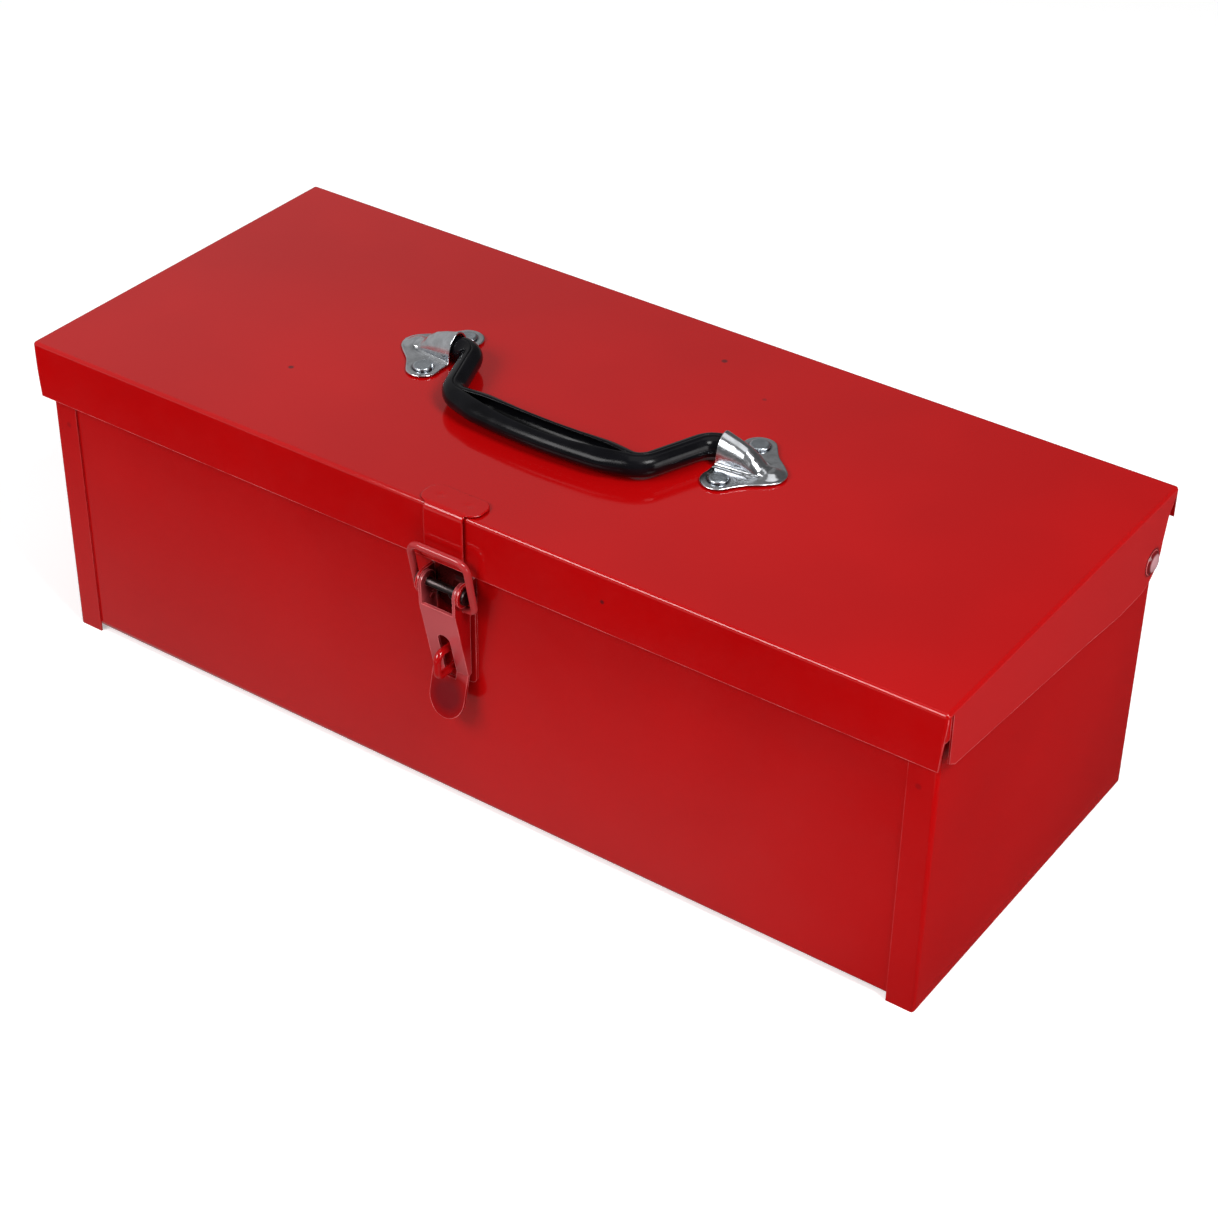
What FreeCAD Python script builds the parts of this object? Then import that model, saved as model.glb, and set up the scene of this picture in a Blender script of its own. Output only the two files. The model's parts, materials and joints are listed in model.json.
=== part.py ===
"""Steel lunch box: lift-up lid, drop handle and draw latch.

Millimetres, +Z up, the front of the box faces -Y, and the floor is at z = 0.
The sheet metal is drawn about the lid's own middle and then moved by lid_mid along Y,
which puts the whole object's middle, staple included, at y = 0.
"""
import FreeCAD, Part
import Sketcher
import math
import os
import re

from FreeCAD import Rotation, Vector

DIMENSIONS = {
    # overall
    "lid_length": 406.0, "lid_width": 169.0, "height": 134.3, "sheet": 0.8, "bend": 1.5,
    "lid_mid": 4.15,
    # body
    "body_length": 399.0, "body_front": -80.2, "body_back": 79.1, "front_top": 133.0,
    "back_top": 129.3, "end_top": 132.8, "end_chamfer": 7.1, "hem_width": 5.0,
    "flange_width": 11.5, "corner_bend": 3.0, "corner_relief": 4.5,
    "hem_gap": 1.0, "margin": 5.0,
    # lid
    "skirt_depth": 23.7, "skirt_taper": 2.0, "back_flange": 13.0, "end_gap": 3.1,
    "end_front_depth": 21.7, "end_mid_depth": 32.5, "end_rear_depth": 35.35,
    "end_rear_radius": 15.0, "end_rear_y": 76.0, "tab_length": 12.0, "tab_depth": 12.0,
    "end_mid_y": 20.0, "end_front_step": 8.0, "end_front_drop": 2.5,
    "end_rear_notch": 9.8, "end_rear_lean": 2.3, "tab_gap": 0.3,
    # lid hinge rivets
    "hinge_y": 68.7, "hinge_drop": 24.7, "hinge_shank": 2.5, "hinge_head": 5.0,
    "hinge_head_height": 1.8, "hinge_tail": 3.75, "hinge_tail_height": 1.3,
    "hinge_play": 0.1, "spacer_radius": 6.0, "burr_thick": 1.0, "burr_radius": 5.5,
    "running_fit": 0.05,
    # handle and its brackets
    "bracket_x": 67.5, "bracket_y": 2.0, "rivet_offset": 13.9, "ear_radius": 6.8,
    "bracket_sheet": 1.2, "tip_reach": 19.5, "tip_radius": 8.0, "mouth_reach": 6.5,
    "hood_width": 12.6, "hood_height": 12.1, "hood_neck": 7.0, "hood_neck_width": 9.4,
    "hood_neck_height": 8.2, "hood_end": 16.5, "hood_end_width": 5.0, "hood_end_height": 2.6,
    "flank_angle": 39.3, "pivot_height": 5.8,
    "bracket_shank": 2.0, "bracket_head": 3.9, "bracket_head_height": 1.7,
    "bracket_burr": 4.5, "bracket_burr_thick": 0.8, "bracket_tail": 3.0,
    "bracket_tail_height": 1.0,
    "handle_end": 70.0, "handle_end_radius": 2.2, "handle_bend": 54.5, "handle_arm_x": 43.0,
    "handle_reach": 30.0, "handle_bow": 3.5, "handle_radius": 4.5, "grip_width": 15.0,
    "grip_height": 10.0, "handle_wall": 1.0, "seam": 0.5, "grip_opening": 8.0,
    "grip_half": 36.0, "grip_blend": 16.0, "handle_bend_radius": 9.0, "grip_bow_radius": 220.0,
    # strike plate
    "strike_sheet": 1.2, "strike_half": 13.3, "strike_depth": 72.5, "strip_half": 8.8,
    "strip_face": 86.2, "strip_drop": 19.2, "lip_out": 1.6, "strike_corner": 5.0,
    # draw latch, measured from its pin
    "pin_y": -86.4, "pin_z": 102.3, "pin_radius": 1.7, "pin_head": 3.25,
    "pin_head_height": 1.2, "base_sheet": 1.2, "base_half": 9.7, "base_top": 6.5,
    "base_bottom": 42.5, "ear_lobe": 4.6, "lever_half": 8.25, "lever_sheet": 1.2,
    "lever_tilt": 13.0, "lever_lobe": 4.4, "lever_face": 5.82, "lever_face_top": 6.56,
    "lever_face_bottom": 37.65, "lever_flange_foot": 1.9, "lever_flange_top": 3.3,
    "slot_half": 2.8, "slot_top": 19.7, "slot_bottom": 40.5, "tongue_half": 8.0,
    "tongue_out": 9.1, "tongue_drop": 18.0, "bail_pivot": 7.06,
    "bail_wire": 1.4, "bail_half": 12.8, "bail_stub": 6.2, "bail_length": 23.68,
    "bail_tilt": 11.6, "bail_foot_bend": 2.4, "bail_top_bend": 4.6, "bail_fit": 0.06,
    "staple_wire": 1.5, "staple_z": 69.8, "staple_pitch": 10.0, "staple_reach": 92.8,
    "staple_bend": 3.0, "staple_tail": 0.7,
    "latch_shank": 1.6, "latch_head": 3.0, "latch_head_height": 1.1, "latch_tail": 2.6,
    "upper_rivet_z": 95.8, "lower_rivet_z": 82.8,
}

doc = FreeCAD.newDocument("lunch_box")
sheet = doc.addObject("Spreadsheet::Sheet", "dims")
for row, (alias, number) in enumerate(DIMENSIONS.items(), start=1):
    sheet.set(f"A{row}", alias)
    sheet.set(f"B{row}", str(number))
    sheet.setAlias(f"B{row}", alias)
doc.recompute()

PREFIX = dict.fromkeys(DIMENSIONS, "dims.")
PARTS = []


def dim(alias):
    """The number that the sheet holds for an alias."""
    return float(sheet.get(alias))


def bound(expression):
    """An expression in which every alias is written as the sheet's own."""
    return re.sub("[a-z_]+", lambda word: PREFIX.get(word[0], "") + word[0], expression)


def value(expression):
    """What an expression of aliases is worth now."""
    number = sheet.evalExpression(bound(expression))
    return float(getattr(number, "Value", number))


def place(part, x="0", y="0", z="0", axis=None, angle="0"):
    """Put a sub-part in the frame, with its place bound to the sheet."""
    if axis is not None:
        part.Placement = FreeCAD.Placement(Vector(), Rotation(axis, value(angle)))
    for letter, expression in zip("xyz", (x, y, z)):
        part.setExpression(f"Placement.Base.{letter}", bound(expression))
    PARTS.append(part)


def new_body(label):
    body = doc.addObject("PartDesign::Body", label)
    body.Label = label
    return body


def sketch_on(body, role, offset="0"):
    """A sketch on one of the body's origin planes, moved out along its normal."""
    sketch = body.newObject("Sketcher::SketchObject", f"{body.Name}_sketch")
    plane = [item for item in body.Origin.OriginFeatures if item.Role == role][0]
    sketch.AttachmentSupport = [(plane, "")]
    sketch.MapMode = "FlatFace"
    sketch.setExpression("AttachmentOffset.Base.z", bound(offset))
    return sketch


def pin_coordinate(sketch, direction, index, end, expression):
    """Bind one coordinate of a sketch point to the sheet."""
    kind = "DistanceX" if direction == "u" else "DistanceY"
    number = sketch.addConstraint(Sketcher.Constraint(kind, -1, 1, index, end, value(expression)))
    sketch.setExpression(f"Constraints[{number}]", bound(expression))


def arc_between(start, end, direction, centre):
    """An arc from start to end whose centre has one known coordinate."""
    if direction == "u":
        other = (start[1] + end[1]) / 2
        other += ((start[0] - centre) ** 2 - (end[0] - centre) ** 2) / (2 * (start[1] - end[1]))
        middle = (centre, other)
    else:
        other = (start[0] + end[0]) / 2
        other += ((start[1] - centre) ** 2 - (end[1] - centre) ** 2) / (2 * (start[0] - end[0]))
        middle = (other, centre)
    radius = math.dist(start, middle)
    first = math.atan2(start[1] - middle[1], start[0] - middle[0])
    last = math.atan2(end[1] - middle[1], end[0] - middle[0])
    circle = Part.Circle(Vector(*middle, 0), Vector(0, 0, 1), radius)
    return Part.ArcOfCircle(circle, first, last if last > first else last + 2 * math.pi)


def outline(sketch, *corners, closed=True):
    """Draw an outline whose corners are (u, v) expressions.

    A corner of five items starts an arc: u, v, "ccw" or "cw", the known coordinate of the
    arc's centre ("u" or "v") and its expression.
    """
    points = [(value(corner[0]), value(corner[1])) for corner in corners]
    ends = []
    count = len(corners) if closed else len(corners) - 1
    for number in range(count):
        corner, here = corners[number], points[number]
        there = points[(number + 1) % len(points)]
        if len(corner) == 2:
            index = sketch.addGeometry(Part.LineSegment(Vector(*here, 0), Vector(*there, 0)))
            ends.append((index, 1, 2))
            continue
        turn, direction, centre = corner[2:]
        if turn == "ccw":
            curve = arc_between(here, there, direction, value(centre))
            ends.append((sketch.addGeometry(curve), 1, 2))
        else:
            curve = arc_between(there, here, direction, value(centre))
            ends.append((sketch.addGeometry(curve), 2, 1))
        pin_coordinate(sketch, direction, ends[-1][0], 3, centre)
    for number in range(count if closed else count - 1):
        after = ends[(number + 1) % count]
        here = ends[number]
        sketch.addConstraint(Sketcher.Constraint("Coincident", here[0], here[2], after[0], after[1]))
    for number, corner in enumerate(corners[:count]):
        index, start, _ = ends[number]
        pin_coordinate(sketch, "u", index, start, corner[0])
        pin_coordinate(sketch, "v", index, start, corner[1])
    if not closed:
        index, _, last = ends[-1]
        pin_coordinate(sketch, "u", index, last, corners[-1][0])
        pin_coordinate(sketch, "v", index, last, corners[-1][1])
    return sketch


def rectangle(sketch, low_u, high_u, low_v, high_v):
    return outline(sketch, (low_u, low_v), (high_u, low_v), (high_u, high_v), (low_u, high_v))


def circle(sketch, u, v, radius):
    ring = Part.Circle(Vector(value(u), value(v), 0), Vector(0, 0, 1), value(radius))
    index = sketch.addGeometry(ring)
    number = sketch.addConstraint(Sketcher.Constraint("Radius", index, value(radius)))
    sketch.setExpression(f"Constraints[{number}]", bound(radius))
    pin_coordinate(sketch, "u", index, 3, u)
    pin_coordinate(sketch, "v", index, 3, v)
    return sketch


def add(body, kind, sketch, length=None, middle=False, backward=False):
    """Add a pad or a pocket of a sketch, and check that it changed the solid."""
    doc.recompute()
    before = body.Shape.Volume if body.Tip else 0.0
    feature = body.newObject(f"PartDesign::{kind}", f"{body.Name}_{kind.lower()}")
    feature.Profile = sketch
    feature.SideType = "Symmetric" if middle else "One side"
    feature.Reversed = backward
    feature.setExpression("Length", bound(length))
    doc.recompute()
    change = body.Shape.Volume - before
    if (change > 0) != (kind == "Pad") or abs(change) < 1e-3:
        raise ValueError(f"{feature.Name} changed the volume by {change}")
    return feature


def round_edges(body, radius, wanted):
    """Fillet the edges of the tip that a test picks."""
    tip = body.Tip
    names = [f"Edge{n}" for n, edge in enumerate(tip.Shape.Edges, start=1) if wanted(edge)]
    feature = body.newObject("PartDesign::Fillet", f"{body.Name}_fillet")
    feature.Base = (tip, names)
    feature.setExpression("Radius", bound(radius))
    doc.recompute()
    return feature


def runs_along(edge, axis):
    """Whether an edge is a straight line along X, Y or Z."""
    if edge.Curve.TypeId != "Part::GeomLine":
        return False
    return abs(getattr(edge.Curve.Direction, axis)) > 0.999


def near(edge, axis, *places):
    """Whether an edge's middle lies at one of the given places along an axis."""
    middle = getattr(edge.CenterOfMass, axis)
    return any(abs(middle - spot) < 0.01 for spot in places)


def washer(label, outer, inner, thick):
    """A flat washer that stands on its own XY plane."""
    body = new_body(label)
    ring = sketch_on(body, "XY_Plane")
    circle(ring, "0", "0", outer)
    circle(ring, "0", "0", inner)
    add(body, "Pad", ring, thick)
    return body


def turned(label, *corners):
    """A solid turned about its own Z axis from a half outline in X and Z."""
    body = new_body(label)
    profile = outline(sketch_on(body, "XZ_Plane"), *corners)
    doc.recompute()
    feature = body.newObject("PartDesign::Revolution", f"{label}_turn")
    feature.Profile = profile
    feature.ReferenceAxis = (profile, ["V_Axis"])
    feature.Angle = 360
    doc.recompute()
    return body


def rivet(label, shank, grip, head, head_height, tail, tail_height):
    """A rivet with a domed head above z = 0 and a flatter peened tail below the grip."""
    return turned(
        label,
        ("0", f"0 - {grip} - {tail_height}", "ccw", "u", "0"),
        (tail, f"0 - {grip}"),
        (shank, f"0 - {grip}"),
        (shank, "0"),
        (head, "0", "ccw", "u", "0"),
        ("0", head_height),
    )


def group(label, members):
    """Identical separate solids in one sub-part."""
    bundle = doc.addObject("Part::Compound", label)
    bundle.Label = label
    bundle.Links = members
    PARTS.append(bundle)


def body_shell():
    """The U-shaped sheet: front, bottom and back, with hemmed tops."""
    body = new_body("body_shell")
    front, back = "( body_front + sheet )", "( body_back - sheet )"
    profile = outline(
        sketch_on(body, "YZ_Plane"),
        (front, "front_top"), (front, "2 * sheet"), (back, "2 * sheet"), (back, "back_top"),
        (f"{back} - 2 * sheet", "back_top"), (f"{back} - 2 * sheet", "back_top - hem_width"),
        (f"{back} - sheet", "back_top - hem_width"), (f"{back} - sheet", "3 * sheet"),
        (f"{front} + sheet", "3 * sheet"), (f"{front} + sheet", "front_top - hem_width"),
        (f"{front} + 2 * sheet", "front_top - hem_width"), (f"{front} + 2 * sheet", "front_top"),
    )
    add(body, "Pad", profile, "body_length - 2 * bend", middle=True)
    outer_z, inner_z = value("2 * sheet"), value("3 * sheet")
    round_edges(body, "corner_bend", lambda edge: runs_along(edge, "x") and near(edge, "z", outer_z))
    round_edges(body, "corner_bend - sheet",
                lambda edge: runs_along(edge, "x") and near(edge, "z", inner_z))
    holes = sketch_on(body, "XZ_Plane", "0 - body_front")
    for spot in ("upper_rivet_z", "lower_rivet_z"):
        circle(holes, "0", spot, "latch_shank")
    for sign in ("-", "+"):
        circle(holes, "0", f"staple_z {sign} staple_pitch / 2", "staple_wire")
    add(body, "Pocket", holes, "2 * margin", middle=True)
    place(body, y="lid_mid")


def end_panel(label, side):
    """An end sheet whose flanges wrap round the shell; side is 1 for +X and -1 for -X.

    The bottom flange is folded double, so the shell stands two sheets above the table.
    """
    body = new_body(label)
    right = side > 0
    outer = f"{side} * body_length / 2"
    inner = f"{side} * ( body_length / 2 - sheet )"
    face = outline(
        sketch_on(body, "YZ_Plane", outer),
        ("body_front", "0"), ("body_back", "0"), ("body_back", "end_top - end_chamfer / 2"),
        ("body_back - end_chamfer", "end_top"), ("body_front", "end_top"),
    )
    add(body, "Pad", face, "flange_width", backward=right)
    outer_x, hem_z = value(outer), value("end_top - hem_width")
    round_edges(body, "bend", lambda edge: near(edge, "x", outer_x) and edge.CenterOfMass.z < hem_z)
    front, back = "body_front + sheet", "body_back - sheet"
    hollow = rectangle(
        sketch_on(body, "YZ_Plane", inner), front, back, "2 * sheet", "2 * end_top"
    )
    add(body, "Pocket", hollow, "flange_width", backward=not right)
    relief = sketch_on(body, "YZ_Plane", inner)
    rectangle(relief, front, f"{front} + corner_relief", "0 - sheet", "2 * sheet")
    rectangle(relief, f"{back} - corner_relief", back, "0 - sheet", "2 * sheet")
    add(body, "Pocket", relief, "flange_width", backward=not right)
    hem = rectangle(
        sketch_on(body, "YZ_Plane", inner), "body_front + 3 * sheet + hem_gap",
        "body_back - end_chamfer - hem_gap", "end_top - hem_width", "end_top",
    )
    add(body, "Pad", hem, "sheet", backward=right)
    hole = circle(sketch_on(body, "YZ_Plane"), "hinge_y", "height - hinge_drop", "hinge_shank")
    add(body, "Pocket", hole, "2 * body_length", middle=True)
    place(body, y="lid_mid")


def lid_shell():
    """The lid: top, front skirt with corner tabs, short back flange and end flanges."""
    body = new_body("lid_shell")
    depth = "( end_rear_depth + margin )"
    half_x, half_y = "( lid_length / 2 )", "( lid_width / 2 )"
    slab = rectangle(sketch_on(body, "XY_Plane"), f"0 - {half_x}", half_x, f"0 - {half_y}", half_y)
    add(body, "Pad", slab, depth, backward=True)
    round_edges(body, "bend", lambda edge: near(edge, "z", 0) or runs_along(edge, "z"))
    hollow = rectangle(
        sketch_on(body, "XY_Plane", "0 - sheet"), f"sheet - {half_x}", f"{half_x} - sheet",
        f"sheet - {half_y}", f"{half_y} - sheet",
    )
    add(body, "Pocket", hollow, depth)
    inner_z = value("0 - sheet")
    round_edges(body, "bend - sheet", lambda edge: near(edge, "z", inner_z))
    waste = outline(
        sketch_on(body, "YZ_Plane"),
        (f"0 - {half_y} - margin", "0 - skirt_depth"), (f"sheet - {half_y}", "0 - skirt_depth"),
        (f"sheet - {half_y}", "0 - bend"), (f"sheet - {half_y} + end_gap", "0 - bend"),
        (f"sheet - {half_y} + end_gap", "0 - end_front_depth"),
        ("end_front_step - lid_width / 2", "0 - end_front_depth - end_front_drop"),
        ("end_mid_y", "0 - end_mid_depth"),
        ("end_rear_y - 2 * end_rear_radius", "0 - end_rear_depth"),
        ("end_rear_y - end_rear_radius", "0 - end_rear_depth", "ccw", "u",
         "end_rear_y - end_rear_radius"),
        ("end_rear_y", "end_rear_radius - end_rear_depth"),
        ("end_rear_y + end_rear_lean", "0 - end_rear_notch"), (f"{half_y} - sheet", "0 - bend"),
        (f"{half_y} - sheet", "0 - back_flange"), (f"{half_y} + margin", "0 - back_flange"),
        (f"{half_y} + margin", f"0 - {depth} - margin"),
        (f"0 - {half_y} - margin", f"0 - {depth} - margin"),
    )
    add(body, "Pocket", waste, "2 * lid_length", middle=True)
    taper = sketch_on(body, "XZ_Plane", half_y)
    for side in (1, -1):
        outline(
            taper,
            (f"{side} * {half_x}", "0 - bend"), (f"{side} * ( {half_x} + margin )", "0 - bend"),
            (f"{side} * ( {half_x} + margin )", "0 - skirt_depth"),
            (f"{side} * ( {half_x} - skirt_taper )", "0 - skirt_depth"),
        )
    add(body, "Pocket", taper, "sheet + end_gap / 2")
    for side in (1, -1):
        tab = rectangle(
            sketch_on(body, "YZ_Plane", f"{side} * ( {half_x} - sheet )"),
            f"sheet - {half_y}", f"sheet - {half_y} + tab_length", "0 - tab_depth",
            "0 - bend - tab_gap",
        )
        add(body, "Pad", tab, "sheet", backward=side > 0)
    rivet_holes = sketch_on(body, "XY_Plane")
    for x in ("bracket_x", "0 - bracket_x"):
        for sign in ("-", "+"):
            circle(rivet_holes, x, f"bracket_y {sign} rivet_offset", "bracket_shank")
    add(body, "Pocket", rivet_holes, "2 * sheet")
    hinge_holes = circle(
        sketch_on(body, "YZ_Plane"), "hinge_y", "0 - hinge_drop", "hinge_shank + running_fit"
    )
    add(body, "Pocket", hinge_holes, "2 * lid_length", middle=True)
    place(body, y="lid_mid", z="height")


def strike_plate():
    """The strike: a tab on the lid's top and a strip with a lip down its front."""
    body = new_body("strike_plate")
    tab = rectangle(
        sketch_on(body, "XY_Plane"), "0 - strike_half", "strike_half",
        "0 - lid_width / 2", "0 - strike_depth",
    )
    add(body, "Pad", tab, "strike_sheet")
    round_edges(body, "strike_corner", lambda edge: runs_along(edge, "z"))
    inner = "( strike_sheet - strip_face )"
    strip = outline(
        sketch_on(body, "YZ_Plane"),
        ("0 - strike_depth - strike_corner", "0"),
        ("0 - strike_depth - strike_corner", "strike_sheet"),
        (inner, "strike_sheet", "ccw", "u", inner), ("0 - strip_face", "0"),
        ("0 - strip_face", "lip_out - strip_drop"), ("0 - strip_face - lip_out", "0 - strip_drop"),
        ("0 - strip_face - lip_out", "0 - strip_drop - strike_sheet"),
        (f"{inner} - lip_out", "0 - strip_drop - strike_sheet"),
        (inner, "0 - strip_drop + lip_out / 2"), (inner, "0"),
    )
    add(body, "Pad", strip, "2 * strip_half", middle=True)
    place(body, y="lid_mid", z="height")


def hinge_hardware(name, side):
    """The rivet, spacer and burr washer on which one rear corner of the lid turns."""
    play_x = "( lid_length / 2 + hinge_play )"
    burr_x = "( body_length / 2 - sheet - burr_thick )"
    spot = {"y": "lid_mid + hinge_y", "z": "height - hinge_drop"}
    turn = {"axis": Vector(0, 1, 0), "angle": f"{side} * 90"}
    pin = rivet(f"hinge_rivet_{name}", "hinge_shank", f"( {play_x} - {burr_x} )", "hinge_head",
                "hinge_head_height", "hinge_tail", "hinge_tail_height")
    place(pin, x=f"{side} * {play_x}", **spot, **turn)
    spacer = washer(f"hinge_spacer_{name}", "spacer_radius", "hinge_shank",
                    "( lid_length - body_length ) / 2 - sheet - hinge_play")
    place(spacer, x=f"{side} * body_length / 2", **spot, **turn)
    burr = washer(f"hinge_burr_{name}", "burr_radius", "hinge_shank", "burr_thick")
    place(burr, x=f"{side} * {burr_x}", **spot, **turn)


def arch(sketch, width, rise):
    """The outline of a round-topped tunnel that stands on the lid."""
    return outline(
        sketch,
        (f"0 - {width} / 2", "0"), (f"{width} / 2", "0"),
        (f"{width} / 2", f"{rise} - {width} / 2", "ccw", "v", f"{rise} - {width} / 2"),
        (f"0 - {width} / 2", f"{rise} - {width} / 2"),
    )


def tunnel(body, kind, wall):
    """Loft the bracket's tapering hood, or the hollow inside it, from three arches."""
    stations = (
        ("0 - mouth_reach", "hood_width", "hood_height"),
        ("hood_neck", "hood_neck_width", "hood_neck_height"),
        ("hood_end", "hood_end_width", "hood_end_height"),
    )
    sections = [
        arch(sketch_on(body, "YZ_Plane", x), f"( {width} - 2 * {wall} )", f"( {rise} - {wall} )")
        for x, width, rise in stations
    ]
    loft = body.newObject(f"PartDesign::{kind}Loft", f"{body.Name}_{kind.lower()}_hood")
    loft.Profile = sections[0]
    loft.Sections = sections[1:]
    loft.Ruled = True
    doc.recompute()


def handle_bracket(name, side):
    """A stamped plate with two ears and a half-cone hood; its mouth faces the grip."""
    body = new_body(f"handle_bracket_{name}")
    lobes = sketch_on(body, "XY_Plane")
    circle(lobes, "0", "rivet_offset", "ear_radius")
    circle(lobes, "0", "0 - rivet_offset", "ear_radius")
    circle(lobes, "tip_reach - tip_radius", "0", "tip_radius")
    add(body, "Pad", lobes, "bracket_sheet")
    edge_x, edge_y = "cos(flank_angle)", "sin(flank_angle)"
    web = outline(
        sketch_on(body, "XY_Plane"),
        ("0 - mouth_reach", "0 - rivet_offset"),
        (f"ear_radius * {edge_x}", f"0 - rivet_offset - ear_radius * {edge_y}"),
        (f"tip_reach - tip_radius + tip_radius * {edge_x}", f"0 - tip_radius * {edge_y}"),
        (f"tip_reach - tip_radius + tip_radius * {edge_x}", f"tip_radius * {edge_y}"),
        (f"ear_radius * {edge_x}", f"rivet_offset + ear_radius * {edge_y}"),
        ("0 - mouth_reach", "rivet_offset"),
    )
    add(body, "Pad", web, "bracket_sheet")
    tunnel(body, "Additive", "0")
    tunnel(body, "Subtractive", "bracket_sheet")
    holes = sketch_on(body, "XY_Plane", "bracket_sheet")
    for sign in ("0 -", "0 +"):
        circle(holes, "0", f"{sign} rivet_offset", "bracket_shank")
    add(body, "Pocket", holes, "2 * bracket_sheet")
    place(body, x=f"{side} * bracket_x", y="lid_mid + bracket_y", z="height",
          axis=Vector(0, 0, 1), angle=f"90 - {side} * 90")

    rivets, burrs = [], []
    for end, sign in (("front", "-"), ("rear", "+")):
        spot = {"x": f"{side} * bracket_x", "y": f"lid_mid + bracket_y {sign} rivet_offset"}
        stem = rivet(f"bracket_rivet_{name}_{end}", "bracket_shank",
                     "( bracket_sheet + sheet + bracket_burr_thick )", "bracket_head",
                     "bracket_head_height", "bracket_tail", "bracket_tail_height")
        place(stem, z="height + bracket_sheet", **spot)
        ring = washer(f"bracket_burr_{name}_{end}", "bracket_burr", "bracket_shank",
                      "bracket_burr_thick")
        place(ring, z="height - sheet - bracket_burr_thick", **spot)
        rivets.append(PARTS.pop(-2))
        burrs.append(PARTS.pop())
    group(f"handle_rivets_{name}", rivets)
    group(f"handle_burrs_{name}", burrs)


DEGREES_PER_STATION = 12


def rounded_path(corners, radii, step):
    """Points and directions along a flat path whose corners are rounded."""
    stations = []
    last = corners[0]
    for before, corner, after, radius in zip(corners, corners[1:], corners[2:], radii):
        inward, outward = (corner - before).normalize(), (after - corner).normalize()
        turn = inward.getAngle(outward)
        cut = radius * math.tan(turn / 2)
        start = corner - inward * cut
        stations += straight(last, start, inward, step)
        side = Vector(0, 0, 1).cross(inward) * math.copysign(1, inward.cross(outward).z)
        steps = max(2, round(math.degrees(turn) / DEGREES_PER_STATION))
        for number in range(steps):
            angle = turn * number / steps
            place_now = start + side * radius * (1 - math.cos(angle))
            place_now += inward * radius * math.sin(angle)
            stations.append((place_now, inward * math.cos(angle) + side * math.sin(angle)))
        last = corner + outward * cut
    finish = corners[-1]
    direction = (finish - last).normalize()
    return stations + straight(last, finish, direction, step) + [(finish, direction)]


def straight(start, end, direction, step):
    """Evenly spaced stations from start up to, but not at, end."""
    length = (end - start).Length
    count = max(1, round(length / step))
    return [(start + direction * (length * n / count), direction) for n in range(count)]


def channel_section(spot, direction):
    """One cross-section of the rolled handle: a closed tube that opens into a C at the grip."""
    share = (dim("grip_half") - abs(spot.x)) / dim("grip_blend") + 0.5
    share = min(max(share, 0.0), 1.0)
    blend = share * share * (3 - 2 * share)
    radius, wall = dim("handle_radius"), dim("handle_wall")
    mouth = dim("bracket_x") - dim("mouth_reach")
    inserted = max(0.0, (abs(spot.x) - mouth) / (dim("handle_end") - mouth))
    radius += (dim("handle_end_radius") - radius) * inserted
    half_width = radius + (dim("grip_width") / 2 - radius) * blend
    half_height = radius + (dim("grip_height") / 2 - radius) * blend
    opening = dim("seam") / 2 + (dim("grip_opening") - dim("seam")) / 2 * blend
    gap = math.asin(opening / half_width)
    side = Vector(0, 0, 1).cross(direction)
    steps = 14
    angles = [math.pi / 2 + gap + (2 * math.pi - 2 * gap) * n / steps for n in range(steps + 1)]

    def curve(inset):
        points = [
            spot + side * (half_width - inset) * math.cos(a)
            + Vector(0, 0, (half_height - inset) * math.sin(a))
            for a in angles
        ]
        spline = Part.BSplineCurve()
        spline.interpolate(points)
        return spline.toShape(), points[0], points[-1]

    outer, outer_start, outer_end = curve(0)
    inner, inner_start, inner_end = curve(wall)
    first, last = Part.makeLine(outer_start, inner_start), Part.makeLine(outer_end, inner_end)
    return Part.Wire([outer, last, inner, first])


def carry_handle():
    """The drop handle, rolled from one strip, folded forward onto the lid."""
    handle = doc.addObject("Part::Feature", "carry_handle")
    handle.Label = "carry_handle"
    reach = dim("handle_reach")
    half = [(dim("handle_end"), 0), (dim("handle_bend"), 0), (dim("handle_arm_x"), -reach)]
    middle = [(0, -reach - dim("handle_bow"))]
    corners = [Vector(x, y, 0) for x, y in half + middle + [(-x, y) for x, y in reversed(half)]]
    bend, bow = dim("handle_bend_radius"), dim("grip_bow_radius")
    stations = rounded_path(corners, (bend, bend, bow, bend, bend), step=3.2)
    handle.Shape = Part.makeLoft([channel_section(*station) for station in stations], True, True)
    place(handle, y="lid_mid + bracket_y", z="height + pivot_height")


def at_pin(part, **turn):
    """Put a latch part, drawn about the latch pin, in the frame."""
    place(part, y="lid_mid + pin_y", z="pin_z", **turn)


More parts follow.
